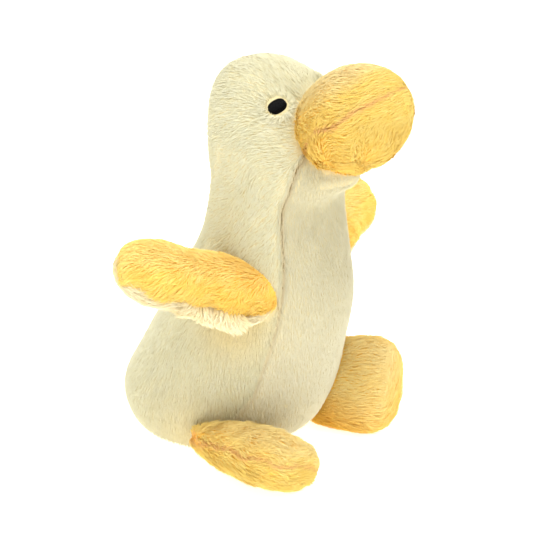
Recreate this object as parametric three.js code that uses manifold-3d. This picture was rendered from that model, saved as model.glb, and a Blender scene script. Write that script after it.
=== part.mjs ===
// A stuffed plush duckling that sits upright on a flat base and looks up: millimetres, +Z up, facing -Y.
// The origin is the middle of the flat base. Its right side is -X and its left side is +X.
//
// It is sewn from panels of short-pile plush cloth over loose filling. Two side panels, a belly
// gusset and a base panel make the body and head. The bill, wings and feet are each two panels
// over a filling of their own, cut to the body they are sewn to. The eyes are embroidered pads.
import * as THREE from 'three';
import { mergeVertices } from 'three/addons/utils/BufferGeometryUtils.js';
import Module from 'manifold-3d';

const wasm = await Module();
wasm.setup();

// Cloth and clearances
const pileHeight = 3; // from the backing to the tips of the pile
const backingThickness = 0.8; // the knitted backing that carries the pile
const clothThickness = pileHeight + backingThickness;
const seamGap = 0.3; // clear space between two pieces that are sewn or pressed together
const overrun = 5; // how far a cutting solid passes the piece that it cuts

// Body and head, one stuffed form
const bodyHeight = 167; // floor to crown
const bodyWidth = 89; // across the hips
const bodyDepth = 82; // through the hips, front to back
const neckLean = 28; // how far the neck's middle stands in front of the base's middle
const throatSwell = 7.5; // how far the throat swells out below the bill
const throatNarrowing = 4; // power of the cosine that keeps the swell to the front
const restCut = 0.5; // depth of the form that is cut away where it rests on the floor
const baseSeamHeight = 7; // where the base panel is sewn to the panels above it

// Bill
const billSize = { length: 45, width: 48, thickness: 40.5 };
const billSink = 14; // how far its root lies under the face
const billPitch = 41; // degrees that it points up
const billHeightShare = 0.817; // share of the body's height

// Wings
const wingSize = { length: 72, width: 29.5, thickness: 22.5 };
const wingSeamTurn = 22; // degrees that the seam round a wing is turned up at its front

// Feet
const footSize = { length: 54.5, width: 42, thickness: 24 };
const footFloorGap = 0.4; // clear space under a foot, so that the base alone carries the weight

// Eyes, embroidered in satin stitch and sunk in the pile
const eyeLength = 8;
const eyeBreadth = 6.9;
const eyeThickness = 2.5;
const eyeHeightShare = 0.934; // share of the body's height
const eyeTurn = 44; // degrees from the middle of the face
const eyeTilt = 80; // degrees that the eye's long way rises towards the bill

// The body's form from floor to crown: height, lean, half width and half depth
const bodyShares = [
  [0, 0, 0, 0],
  [0.001, 0, 0.5, 0.5],
  [0.035, 0, 0.91, 0.91],
  [0.12, 0.05, 1.04, 1.08],
  [0.24, 0.32, 0.975, 1.025],
  [0.4, 0.69, 0.835, 0.93],
  [0.54, 0.9, 0.69, 0.76],
  [0.66, 0.96, 0.625, 0.665],
  [0.76, 1.03, 0.63, 0.72],
  [0.84, 0.96, 0.63, 0.69],
  [0.925, 0.86, 0.54, 0.59],
  [0.982, 0.73, 0.3, 0.32],
  [1, 0.7, 0, 0],
];

// Where the throat's swell rises and falls away again, as shares of the body's height
const throatRiseShares = [0.69, 0.75];
const throatFallShares = [0.78, 0.88];

// The limbs' forms from root to tip: place along the length, half width and half thickness
const billShares = [
  [0, 0, 0],
  [0.06, 0.5, 0.5],
  [0.25, 0.87, 0.88],
  [0.5, 1, 1],
  [0.75, 0.92, 0.9],
  [0.94, 0.54, 0.52],
  [1, 0, 0],
];
const wingShares = [
  [0, 0, 0],
  [0.03, 0.42, 0.5],
  [0.16, 0.9, 0.95],
  [0.35, 0.98, 1],
  [0.55, 0.9, 0.92],
  [0.75, 0.98, 0.95],
  [0.9, 0.8, 0.8],
  [0.975, 0.42, 0.45],
  [1, 0, 0],
];
const footShares = [
  [0, 0, 0],
  [0.03, 0.38, 0.3],
  [0.16, 0.72, 0.62],
  [0.38, 0.9, 0.92],
  [0.62, 1, 1],
  [0.82, 0.97, 0.96],
  [0.94, 0.72, 0.7],
  [0.985, 0.38, 0.38],
  [1, 0, 0],
];

// The belly gusset from the base seam to the mouth: share of the height, degrees either side
const gussetShares = [
  [0, 56],
  [0.08, 54],
  [0.15, 49],
  [0.22, 42.5],
  [0.4, 42.3],
  [0.5, 42],
  [0.6, 44.7],
  [0.69, 46.5],
  [0.73, 46.5],
  [0.77, 44.5],
  [0.805, 40],
  [0.83, 32],
  [0.85, 24],
];

// How each limb sits on the body: share of the body's height, degrees round from the front, depth
// of its root under the cloth, degrees it points back and up, degrees its face leans forward and out
const wingPlaces = {
  right: { side: -1, heightShare: 0.449, turn: 40, sink: 8.5, back: 31.5, lift: 20, forward: 34, out: 17 },
  left: { side: 1, heightShare: 0.477, turn: 50, sink: 20, back: 20, lift: 3, forward: 34, out: 17 },
};
const footPlaces = {
  right: { side: -1, heightShare: 0.088, turn: 66, sink: 0, back: -97, lift: 0, forward: 28, out: -31 },
  left: { side: 1, heightShare: 0.088, turn: 50, sink: 22, back: -69.5, lift: 6, forward: 34, out: -50 },
};

// Facets
const bodyFacets = { rings: 22, around: 26 };
const bodyInnerFacets = { rings: 14, around: 14 };
const limbFacets = { rings: 13, around: 16 };
const limbInnerFacets = { rings: 8, around: 10 };
const eyeFacets = 12;
const gussetRings = 17;
const sectionSamples = 240;

// Colours
const creamPlush = { color: 0xe9e4c6, roughness: 0.95, metalness: 0 };
const palePlush = { color: 0xe6d9a8, roughness: 0.95, metalness: 0 };
const yellowPlush = { color: 0xf6d273, roughness: 0.92, metalness: 0 };
const whiteFibre = { color: 0xf3f1ea, roughness: 1, metalness: 0 };
const blackThread = { color: 0x1c1a18, roughness: 0.45, metalness: 0 };

const radians = THREE.MathUtils.degToRad;

// Curve through a table's rows. A row that mirrors the second past each end makes the ends round.
function smoothRows(rows, count) {
  const mirrored = (end, next) => next.map((value, i) => (i === 0 ? 2 * end[i] - value : -value));
  const bottom = mirrored(rows[0], rows[1]);
  const top = mirrored(rows[rows.length - 1], rows[rows.length - 2]);
  const points = [bottom, ...rows, top];
  const spans = rows.length - 1;
  const samples = [];
  for (let k = 0; k <= count; k += 1) {
    const place = (k / count) * spans;
    const i = Math.min(Math.floor(place), spans - 1);
    const t = place - i;
    const [p, q, r, s] = points.slice(i, i + 4);
    samples.push(q.map((_, c) => catmull(p[c], q[c], r[c], s[c], t)));
  }
  return samples;
}

function catmull(p, q, r, s, t) {
  const slope = (r - p) / 2;
  const nextSlope = (s - q) / 2;
  const fall = q - r;
  const bend = 3 * fall + 2 * slope + nextSlope;
  const twist = 2 * fall + slope + nextSlope;
  return q + t * (slope + t * (t * twist - bend));
}

// Closed skin over rings of points, with a single point at each end
function skin(rings) {
  const around = rings[0].length;
  const inner = rings.slice(1, -1);
  const points = [rings[0][0], ...inner.flat(), rings[rings.length - 1][0]];
  const at = (ring, k) => 1 + ring * around + (k % around);
  const faces = [];
  for (let k = 0; k < around; k += 1) {
    faces.push(0, at(0, k + 1), at(0, k));
    for (let ring = 0; ring + 1 < inner.length; ring += 1) {
      faces.push(at(ring, k), at(ring, k + 1), at(ring + 1, k));
      faces.push(at(ring, k + 1), at(ring + 1, k + 1), at(ring + 1, k));
    }
    faces.push(points.length - 1, at(inner.length - 1, k), at(inner.length - 1, k + 1));
  }
  const geometry = new THREE.BufferGeometry().setFromPoints(points);
  geometry.setIndex(faces);
  return geometry;
}

// The same skin moved out, or in where the distance is negative, along its normals
function grown(geometry, distance) {
  const copy = geometry.clone();
  copy.computeVertexNormals();
  const { position, normal } = copy.attributes;
  const point = new THREE.Vector3();
  const away = new THREE.Vector3();
  for (let i = 0; i < position.count; i += 1) {
    point.fromBufferAttribute(position, i);
    away.fromBufferAttribute(normal, i);
    point.addScaledVector(away, distance);
    position.setXYZ(i, point.x, point.y, point.z);
  }
  return copy;
}

function solidOf(geometry) {
  const bare = geometry.clone();
  bare.deleteAttribute('normal');
  bare.deleteAttribute('uv');
  const merged = mergeVertices(bare);
  return new wasm.Manifold(new wasm.Mesh({
    numProp: 3,
    vertProperties: new Float32Array(merged.attributes.position.array),
    triVerts: new Uint32Array(merged.index.array),
  }));
}

function geometryOf(solid) {
  const mesh = solid.getMesh();
  const geometry = new THREE.BufferGeometry();
  geometry.setAttribute('position', new THREE.BufferAttribute(new Float32Array(mesh.vertProperties), 3));
  geometry.setIndex(new THREE.BufferAttribute(new Uint32Array(mesh.triVerts), 1));
  return geometry;
}

// A box from one corner to the other, turned by a limb's frame where one is given
function block(low, high, frame) {
  const size = new THREE.Vector3().subVectors(high, low);
  const middle = new THREE.Vector3().addVectors(low, high).multiplyScalar(0.5);
  const geometry = new THREE.BoxGeometry(size.x, size.y, size.z).translate(middle.x, middle.y, middle.z);
  if (frame) geometry.applyMatrix4(frame);
  return solidOf(geometry);
}

// Body form
const bodyCurve = smoothRows(bodyShares, sectionSamples);

function section([height, lean, width, depth]) {
  const rise = THREE.MathUtils.smoothstep(height, ...throatRiseShares);
  const fall = THREE.MathUtils.smoothstep(height, ...throatFallShares);
  return {
    z: height * (bodyHeight + restCut) - restCut,
    forward: lean * neckLean,
    halfWidth: (width * bodyWidth) / 2,
    halfDepth: (depth * bodyDepth) / 2,
    swell: throatSwell * rise * (1 - fall),
  };
}

function sectionPoint({ z, forward, halfWidth, halfDepth, swell }, angle) {
  const swollen = swell * Math.max(0, Math.cos(angle)) ** throatNarrowing;
  const front = forward + halfDepth * Math.cos(angle) + swollen;
  return new THREE.Vector3(halfWidth * Math.sin(angle), -front, z);
}

function bodyForm({ rings, around }) {
  const rows = smoothRows(bodyShares, rings).map(section);
  return skin(rows.map((row) => Array.from({ length: around }, (_, k) => (
    sectionPoint(row, (2 * Math.PI * k) / around)))));
}

// The body's section at a share of its height
function sectionAt(heightShare) {
  const above = Math.max(1, bodyCurve.findIndex((row) => row[0] >= heightShare));
  const low = bodyCurve[above - 1];
  const high = bodyCurve[above];
  const t = (heightShare - low[0]) / (high[0] - low[0]);
  return section(low.map((value, i) => value + t * (high[i] - value)));
}

// A point of the body's surface and the way straight out of it
function bodySeat(heightShare, turn, side) {
  const angle = side * radians(turn);
  const nearShare = 0.01;
  const point = sectionPoint(sectionAt(heightShare), angle);
  const higher = sectionPoint(sectionAt(heightShare + nearShare), angle);
  const further = sectionPoint(sectionAt(heightShare), angle + nearShare);
  const up = higher.sub(point);
  const round = further.sub(point);
  const out = new THREE.Vector3().crossVectors(round, up).normalize();
  return { point, out };
}

// Limb form, drawn in by an inset on all sides: length along X, width along Y and thickness along Z
function limbForm(shares, { length, width, thickness }, inset, { rings, around }) {
  const rows = smoothRows(shares, rings);
  return skin(rows.map(([along, wide, thick]) => Array.from({ length: around }, (_, k) => {
    const angle = (2 * Math.PI * k) / around;
    return new THREE.Vector3(
      inset + along * (length - 2 * inset),
      wide * (width / 2 - inset) * Math.cos(angle),
      thick * (thickness / 2 - inset) * Math.sin(angle),
    );
  })));
}

function frameOf(origin, along, face) {
  const x = along.clone().normalize();
  const z = face.clone().addScaledVector(x, -face.dot(x)).normalize();
  const y = new THREE.Vector3().crossVectors(z, x);
  return new THREE.Matrix4().makeBasis(x, y, z).setPosition(origin);
}

function limbFrame({ side, heightShare, turn, sink, back, lift, forward, out }) {
  const seat = bodySeat(heightShare, turn, side);
  const level = Math.cos(radians(lift));
  const along = new THREE.Vector3(
    side * level * Math.cos(radians(back)),
    level * Math.sin(radians(back)),
    Math.sin(radians(lift)),
  );
  const face = new THREE.Vector3(side * Math.tan(radians(out)), -Math.tan(radians(forward)), 1);
  const levelOut = seat.out.setZ(0).normalize();
  return frameOf(seat.point.addScaledVector(levelOut, -sink), along, face);
}

// A foot's frame, raised or lowered until the foot's form just clears the floor
function footFrame(place) {
  const frame = limbFrame(place);
  const form = limbForm(footShares, footSize, 0, limbFacets).applyMatrix4(frame);
  form.computeBoundingBox();
  return new THREE.Matrix4().makeTranslation(0, 0, footFloorGap - form.boundingBox.min.z).multiply(frame);
}

// Solids of the body
const outerBody = bodyForm(bodyFacets);
const innerBody = grown(bodyForm(bodyInnerFacets), -clothThickness);
const far = bodyHeight;
const floorBlock = block(new THREE.Vector3(-far, -far, -far), new THREE.Vector3(far, far, 0));
const bodySolid = solidOf(outerBody).subtract(floorBlock);
const bodyKeepOut = solidOf(grown(outerBody, seamGap));
const bodyCloth = bodySolid.subtract(solidOf(innerBody));
const fillingForm = solidOf(grown(innerBody, -seamGap));

// Degrees from the middle of the belly to the gusset's seam at a share of the body's height
function gussetTurn(heightShare) {
  const above = Math.max(1, gussetShares.findIndex(([height]) => height >= heightShare));
  const [lowHeight, lowTurn] = gussetShares[above - 1];
  const [highHeight, highTurn] = gussetShares[above];
  return lowTurn + ((heightShare - lowHeight) / (highHeight - lowHeight)) * (highTurn - lowTurn);
}

// Wedge that bounds the gusset, with its sides moved out by a margin. Each ring is a kite: its tail
// is on the body's middle line, its sides end just outside the body and its nose is well in front.
function gussetWedge(margin) {
  const topShare = gussetShares[gussetShares.length - 1][0];
  const rings = Array.from({ length: gussetRings + 1 }, (_, i) => {
    const heightShare = (topShare * i) / gussetRings;
    const angle = radians(gussetTurn(heightShare));
    const { z, forward, halfWidth, halfDepth } = sectionAt(heightShare);
    const reach = Math.max(halfWidth, halfDepth) + overrun;
    const tail = margin / Math.sin(angle) - forward;
    const side = reach * Math.sin(angle);
    const front = tail - reach * Math.cos(angle);
    return [
      new THREE.Vector3(0, tail, z),
      new THREE.Vector3(-side, front, z),
      new THREE.Vector3(0, tail - reach - reach, z),
      new THREE.Vector3(side, front, z),
    ];
  });
  rings[0].forEach((point) => point.setZ(-overrun));
  rings[gussetRings].forEach((point) => point.setZ(point.z + margin));
  const faces = [0, 2, 1, 0, 3, 2];
  for (let ring = 0; ring < gussetRings; ring += 1) {
    for (let k = 0; k < 4; k += 1) {
      const low = ring * 4 + k;
      const next = ring * 4 + ((k + 1) % 4);
      faces.push(low, next, low + 4, next, next + 4, low + 4);
    }
  }
  const top = gussetRings * 4;
  faces.push(top, top + 1, top + 2, top, top + 2, top + 3);
  const geometry = new THREE.BufferGeometry().setFromPoints(rings.flat());
  geometry.setIndex(faces);
  return solidOf(geometry);
}

// Everything above a height, on one side of the middle plane or on both
function upperBlock(height, side) {
  const low = new THREE.Vector3(side > 0 ? seamGap / 2 : -far, -far, height);
  const high = new THREE.Vector3(side < 0 ? -seamGap / 2 : far, far, far + far);
  return block(low, high);
}

// Bill
const billSeat = bodySeat(billHeightShare, 0, 1);
const billAlong = new THREE.Vector3(0, -Math.cos(radians(billPitch)), Math.sin(radians(billPitch)));
const billUp = new THREE.Vector3(0, Math.sin(radians(billPitch)), Math.cos(radians(billPitch)));
const billRoot = billSeat.point.clone().add(new THREE.Vector3(0, billSink, 0));
const billFrame = frameOf(billRoot, billAlong, billUp);

// One stuffed limb: its outer form, the form inside its cloth and the frame of the seam round its
// rim, which is the limb's own frame turned about its length
function stuffedForms(shares, size, frame, seamTurn) {
  const form = (inset, facets) => solidOf(limbForm(shares, size, inset, facets).applyMatrix4(frame));
  return {
    seamFrame: frame.clone().multiply(new THREE.Matrix4().makeRotationX(radians(seamTurn))),
    length: size.length,
    outer: form(0, limbFacets),
    hollow: form(clothThickness, limbInnerFacets),
    filling: form(clothThickness + seamGap, limbInnerFacets),
  };
}

// The half of a limb on its face side or on its under side, clear of the seam round its rim
function faceBlock({ seamFrame, length }, side) {
  const low = new THREE.Vector3(-length, -length, side > 0 ? seamGap / 2 : -length);
  const high = new THREE.Vector3(length + length, length, side < 0 ? -seamGap / 2 : length);
  return block(low, high, seamFrame);
}

function limbPanels(forms, keepOut) {
  const cloth = forms.outer.subtract(forms.hollow).subtract(keepOut);
  return {
    top: cloth.intersect(faceBlock(forms, 1)),
    under: cloth.intersect(faceBlock(forms, -1)),
  };
}

// Eyes
function eyeFrame(side) {
  const seat = bodySeat(eyeHeightShare, eyeTurn, side);
  const toBill = new THREE.Vector3(0, -1, 0).addScaledVector(seat.out, seat.out.y).normalize();
  const long = toBill.applyAxisAngle(seat.out, -side * radians(eyeTilt));
  return frameOf(seat.point.addScaledVector(seat.out, -pileHeight), long, seat.out);
}

function eyeForm(frame) {
  const profile = [[0, 0], [0.9, 0], [1, 0.25], [0.97, 0.55], [0.8, 0.8], [0.45, 0.96], [0, 1]];
  const dome = new THREE.LatheGeometry(profile.map(([r, h]) => new THREE.Vector2(r, h)), eyeFacets);
  dome.rotateX(Math.PI / 2);
  dome.scale(eyeLength / 2, eyeBreadth / 2, eyeThickness);
  return solidOf(dome.applyMatrix4(frame));
}

function eyePocket(frame) {
  const well = new THREE.CylinderGeometry(1, 1, 1, eyeFacets).rotateX(Math.PI / 2);
  const depth = pileHeight + seamGap + overrun;
  well.scale(eyeLength / 2 + seamGap, eyeBreadth / 2 + seamGap, depth);
  well.translate(0, 0, depth / 2 - seamGap);
  return solidOf(well.applyMatrix4(frame));
}

// Assembly
const duck = new THREE.Group();

function addPiece(name, solid, look) {
  const mesh = new THREE.Mesh(geometryOf(solid), new THREE.MeshStandardMaterial(look));
  mesh.name = name;
  duck.add(mesh);
}

function addBody(billForms) {
  const eyePockets = [-1, 1].map((side) => eyePocket(eyeFrame(side)));
  const billMouth = solidOf(grown(geometryOf(billForms.hollow), seamGap));
  const cloth = eyePockets.reduce((left, pocket) => left.subtract(pocket), bodyCloth.subtract(billMouth));
  const aboveBase = baseSeamHeight + seamGap;
  const sides = cloth.subtract(gussetWedge(seamGap));
  addPiece('body_side_right', sides.intersect(upperBlock(aboveBase, -1)), creamPlush);
  addPiece('body_side_left', sides.intersect(upperBlock(aboveBase, 1)), creamPlush);
  addPiece('belly_gusset', cloth.intersect(gussetWedge(0)).intersect(upperBlock(aboveBase, 0)), creamPlush);
  addPiece('base_panel', cloth.subtract(upperBlock(baseSeamHeight, 0)), creamPlush);
  addPiece('body_filling', fillingForm, whiteFibre);
  [['eye_right', -1], ['eye_left', 1]].forEach(([name, side]) => {
    addPiece(name, eyeForm(eyeFrame(side)), blackThread);
  });
}

function addBill(forms) {
  const panels = limbPanels(forms, bodyKeepOut);
  const innerKeepOut = solidOf(innerBody);
  addPiece('bill_top', panels.top, yellowPlush);
  addPiece('bill_bottom', panels.under, yellowPlush);
  addPiece('bill_filling', forms.filling.subtract(innerKeepOut), whiteFibre);
}

function addLimb(name, forms, topLook, underName, underLook) {
  const panels = limbPanels(forms, bodyKeepOut);
  addPiece(`${name}_top`, panels.top, topLook);
  addPiece(`${name}_${underName}`, panels.under, underLook);
  addPiece(`${name}_filling`, forms.filling.subtract(bodyKeepOut), whiteFibre);
}

const billForms = stuffedForms(billShares, billSize, billFrame, 0);
addBody(billForms);
addBill(billForms);
for (const [hand, place] of Object.entries(wingPlaces)) {
  const forms = stuffedForms(wingShares, wingSize, limbFrame(place), -place.side * wingSeamTurn);
  addLimb(`wing_${hand}`, forms, yellowPlush, 'under', palePlush);
}
for (const [hand, place] of Object.entries(footPlaces)) {
  const forms = stuffedForms(footShares, footSize, footFrame(place), 0);
  addLimb(`foot_${hand}`, forms, yellowPlush, 'sole', yellowPlush);
}

export default duck;
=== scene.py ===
import math

import bmesh
import bpy
import numpy as np
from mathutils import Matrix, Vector
from mathutils.kdtree import KDTree


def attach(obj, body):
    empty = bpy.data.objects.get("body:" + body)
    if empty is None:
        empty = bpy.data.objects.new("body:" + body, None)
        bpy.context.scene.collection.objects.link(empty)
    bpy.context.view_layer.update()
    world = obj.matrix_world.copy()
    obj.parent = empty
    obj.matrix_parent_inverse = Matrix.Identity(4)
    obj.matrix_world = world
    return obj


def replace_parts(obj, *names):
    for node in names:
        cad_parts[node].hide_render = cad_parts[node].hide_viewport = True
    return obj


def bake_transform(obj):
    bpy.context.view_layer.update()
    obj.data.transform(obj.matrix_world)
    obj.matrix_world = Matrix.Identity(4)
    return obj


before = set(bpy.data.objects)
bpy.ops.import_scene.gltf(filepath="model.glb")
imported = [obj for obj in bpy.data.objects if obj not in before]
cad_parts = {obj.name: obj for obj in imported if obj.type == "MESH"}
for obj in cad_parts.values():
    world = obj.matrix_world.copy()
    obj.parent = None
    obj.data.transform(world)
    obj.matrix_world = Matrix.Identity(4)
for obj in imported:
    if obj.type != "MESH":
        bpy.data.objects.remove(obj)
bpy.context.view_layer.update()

# A stuffed plush duckling: sewn cloth skins, a pile of separate strands on each, stitched eyes.
# Metres in the row's frame: +Z up, it faces -Y, its right side is -X.

MM = 0.001

# Body and head
BODY_HEIGHT = 167 * MM
BODY_WIDTH = 89 * MM
BODY_DEPTH = 82 * MM
NECK_LEAN = 28 * MM
THROAT_SWELL = 7.5 * MM
REST_CUT = 0.5 * MM
BASE_SEAM_HEIGHT = 7 * MM

# Bill, wings and feet: length, width and thickness
BILL_SIZE = np.array([45, 48, 40.5]) * MM
BILL_SINK = 14 * MM
BILL_PITCH = 41
BILL_HEIGHT_SHARE = 0.817
WING_SIZE = np.array([72, 29.5, 22.5]) * MM
FOOT_SIZE = np.array([54.5, 42, 24]) * MM
FOOT_FLOOR_GAP = 0.4 * MM

# Eyes
EYE_LENGTH = 8 * MM
EYE_BREADTH = 6.9 * MM
EYE_THICKNESS = 2.5 * MM
EYE_SINK = 3 * MM
EYE_HEIGHT_SHARE = 0.934
EYE_TURN = 44
EYE_TILT = 69

# The form tables, as the solids have them: share along, shift forward (body), width, depth or thickness.
# The gusset's rows are height share and half angle in degrees.
BODY_SHARES = [
    [0, 0, 0, 0],
    [0.001, 0, 0.5, 0.5],
    [0.035, 0, 0.91, 0.91],
    [0.12, 0.05, 1.04, 1.08],
    [0.24, 0.32, 0.975, 1.025],
    [0.4, 0.69, 0.835, 0.93],
    [0.54, 0.9, 0.69, 0.76],
    [0.66, 0.96, 0.625, 0.665],
    [0.76, 1.03, 0.63, 0.72],
    [0.84, 0.96, 0.63, 0.69],
    [0.925, 0.86, 0.54, 0.59],
    [0.982, 0.73, 0.3, 0.32],
    [1, 0.7, 0, 0],
]
BILL_SHARES = [
    [0, 0, 0],
    [0.06, 0.5, 0.5],
    [0.25, 0.87, 0.88],
    [0.5, 1, 1],
    [0.75, 0.92, 0.9],
    [0.94, 0.54, 0.52],
    [1, 0, 0],
]
WING_SHARES = [
    [0, 0, 0],
    [0.03, 0.42, 0.5],
    [0.16, 0.9, 0.95],
    [0.35, 0.98, 1],
    [0.55, 0.9, 0.92],
    [0.75, 0.98, 0.95],
    [0.9, 0.8, 0.8],
    [0.975, 0.42, 0.45],
    [1, 0, 0],
]
FOOT_SHARES = [
    [0, 0, 0],
    [0.03, 0.38, 0.3],
    [0.16, 0.72, 0.62],
    [0.38, 0.9, 0.92],
    [0.62, 1, 1],
    [0.82, 0.97, 0.96],
    [0.94, 0.72, 0.7],
    [0.985, 0.38, 0.38],
    [1, 0, 0],
]
GUSSET_SHARES = [
    [0, 56], [0.08, 54], [0.15, 49], [0.22, 42.5], [0.4, 42.3],
    [0.5, 42], [0.6, 44.7], [0.69, 46.5], [0.73, 46.5], [0.77, 44.5],
    [0.805, 40], [0.83, 32], [0.85, 24], [0.89, 0], [1, 0],
]
WINGS = {
    "right": dict(side=-1, height=0.449, turn=40, sink=8.5 * MM, back=31.5, lift=20, forward=34, out=17),
    "left": dict(side=1, height=0.477, turn=50, sink=20 * MM, back=20, lift=3, forward=34, out=17),
}
FEET = {
    "right": dict(side=-1, height=0.088, turn=66, sink=0, back=-97, lift=0, forward=28, out=-31),
    "left": dict(side=1, height=0.088, turn=50, sink=22 * MM, back=-69.5, lift=6, forward=34, out=-50),
}
FOOT_RINGS, FOOT_AROUND = 13, 16

# Cloth, stitches and filling. The cloth dips towards its seams.
BACKING = 0.8 * MM
SEAM_DIP = 0.8 * MM
SEAM_REACH = 1.8 * MM
WING_SEAM_TURN = 22
STITCH_PITCH = 2.3 * MM
STITCH_THICKNESS = 0.42 * MM
STITCH_RISE = 0.3 * MM
FILLING_DEPTH = 2.9 * MM
FILLING_LUMPS = 0.3 * MM
CROWN_COVER = 30 * MM

# Strands of the pile
STRAND_FLATNESS = 0.4
STRAND_ROOT_DEPTH = 0.3 * MM
LOWEST_STRAND = 0.15 * MM
STRANDS_PER_PIECE = 19800
STRAND_SHARE = 1.0
EXTRA_ROOTS = 1.6
EXTRA_NEAR_EYE = 2 * MM
EXTRA_NEAR_SEAM = 1.4 * MM
EYE_CLEARANCE = 0.05 * MM

# Studio. Each light has its azimuth, elevation, distance, size and power.
FLOOR_GLOW = 0.75
WORLD_STRENGTH = 0.75
LIGHTS = {
    "top": (-30, 82, 1.2, 0.9, 13.5),
    "low": (-60, 2, 1.2, 0.9, 1.5),
    "back": (150, 35, 1.2, 0.9, 2),
    "glint": (-10, 35, 1.0, 0.1, 0.3),
}
VIEW_AZIMUTH, VIEW_ELEVATION, VIEW_DISTANCE = -49, 24, 0.9
PIXELS_PER_METRE, PHOTO_WIDTH = 2420, 533
OFF_CENTRE_RIGHT, OFF_CENTRE_DOWN = 39.5 / PIXELS_PER_METRE, 21.5 / PIXELS_PER_METRE

rng = np.random.default_rng(20)


def unit(vectors):
    return vectors / np.maximum(np.linalg.norm(vectors, axis=-1, keepdims=True), 1e-12)


def step_up(value, low, high):
    """0 below low, 1 above high and smooth between them."""
    t = np.clip((value - low) / (high - low), 0, 1)
    return t * t * (3 - 2 * t)


def smooth_rows(rows, places):
    """The curve through a table's rows, at places from 0 to 1. A mirrored row past each end rounds it."""
    rows = np.array(rows, float)

    def mirrored(end, following):
        ghost = -following
        ghost[0] = 2 * end[0] - following[0]
        return ghost

    points = np.vstack([mirrored(rows[0], rows[1]), rows, mirrored(rows[-1], rows[-2])])
    spans = len(rows) - 1
    place = np.clip(places, 0, 1) * spans
    i = np.minimum(place.astype(int), spans - 1)
    t = (place - i)[..., None]
    p, q, r, s = (points[i + k] for k in range(4))
    slope, following, fall = (r - p) / 2, (s - q) / 2, q - r
    bend = 3 * fall + 2 * slope + following
    twist = 2 * fall + slope + following
    return q + t * (slope + t * (t * twist - bend))


# Forms

def body_section(row):
    z = row[..., 0] * (BODY_HEIGHT + REST_CUT) - REST_CUT
    return z, row[..., 1] * NECK_LEAN, row[..., 2] * BODY_WIDTH / 2, row[..., 3] * BODY_DEPTH / 2


def throat(height_share, front):
    """How far the throat swells out below the bill. front is the cosine of the angle from the front."""
    reach = step_up(height_share, 0.69, 0.75) * (1 - step_up(height_share, 0.78, 0.88))
    return THROAT_SWELL * reach * np.maximum(front, 0) ** 4


def body_point(u, angle):
    rows = smooth_rows(BODY_SHARES, u)
    z, forward, wide, deep = body_section(rows)
    front = np.cos(angle)
    ahead = forward + deep * front + throat(rows[..., 0], front)
    point = np.stack([wide * np.sin(angle), -ahead, z], -1)
    point[..., 2] = np.maximum(point[..., 2], 0)
    return point


CURVE = smooth_rows(BODY_SHARES, np.linspace(0, 1, 241))


def section_at(height_share):
    return body_section(np.stack([np.interp(height_share, CURVE[:, 0], column) for column in CURVE.T], -1))


def u_at(height_share):
    fine = np.linspace(0, 1, 2001)
    return np.interp(height_share, smooth_rows(BODY_SHARES, fine)[:, 0], fine)


def body_seat(height_share, turn, side):
    """A point of the body's surface and the way straight out of it."""
    near = 0.01

    def at(share, angle):
        z, forward, wide, deep = section_at(share)
        front = math.cos(angle)
        return np.array([wide * math.sin(angle), -forward - deep * front - throat(share, front), z])

    angle = side * math.radians(turn)
    point = at(height_share, angle)
    up = at(height_share + near, angle) - point
    further = at(height_share, angle + near) - point
    return point, unit(np.cross(further, up))


def limb_point(shares, size, place, u, angle):
    along, wide, thick = np.moveaxis(smooth_rows(shares, u), -1, 0)
    local = np.stack([
        along * size[0],
        wide * size[1] / 2 * np.cos(angle),
        thick * size[2] / 2 * np.sin(angle),
    ], -1)
    return local @ place[:3, :3].T + place[:3, 3]


def frame_of(origin, along, face):
    x = unit(along)
    z = unit(face - x * (face @ x))
    place = np.eye(4)
    place[:3, 0], place[:3, 1], place[:3, 2], place[:3, 3] = x, np.cross(z, x), z, origin
    return place


def in_axes(place, points):
    """Points as the axes of a place see them."""
    return (points - place[:3, 3]) @ place[:3, :3]


def limb_place(side, height, turn, sink, back, lift, forward, out):
    point, outward = body_seat(height, turn, side)
    back, lift = math.radians(back), math.radians(lift)
    ahead = math.cos(lift)
    along = np.array([side * ahead * math.cos(back), ahead * math.sin(back), math.sin(lift)])
    face = np.array([side * math.tan(math.radians(out)), -math.tan(math.radians(forward)), 1.0])
    level = unit(outward * [1, 1, 0])
    return frame_of(point - level * sink, along, face)


def foot_place(**place):
    """A foot's place, raised or lowered until its form just clears the floor."""
    found = limb_place(**place)
    u, angle = np.meshgrid(
        np.linspace(0, 1, FOOT_RINGS + 1), np.arange(FOOT_AROUND) * math.tau / FOOT_AROUND, indexing="ij")
    low = limb_point(FOOT_SHARES, FOOT_SIZE, found, u, angle)[..., 2].min()
    found[2, 3] += FOOT_FLOOR_GAP - low
    return found


class Form:
    """A stuffed form's outer face: point(u, angle), with u from root to tip and angle round it."""

    def __init__(self, point, end):
        self.point, self.end = point, end

    def normal(self, u, angle):
        step, near = 0.004, 0.03
        inner = np.clip(u, 2 * step, 1 - 2 * step)
        along = self.point(inner + step, angle) - self.point(inner - step, angle)
        across = self.point(inner, angle + step) - self.point(inner, angle - step)
        to_end = np.clip((u - 1 + near) / near, 0, 1)[..., None] ** 2
        return unit(unit(np.cross(across, along)) * (1 - to_end) + self.end * to_end)


def limb_form(shares, size, place):
    form = Form(lambda u, angle: limb_point(shares, size, place, u, angle), place[:3, 0])
    form.shares, form.size, form.place = shares, size, place
    return form


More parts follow.
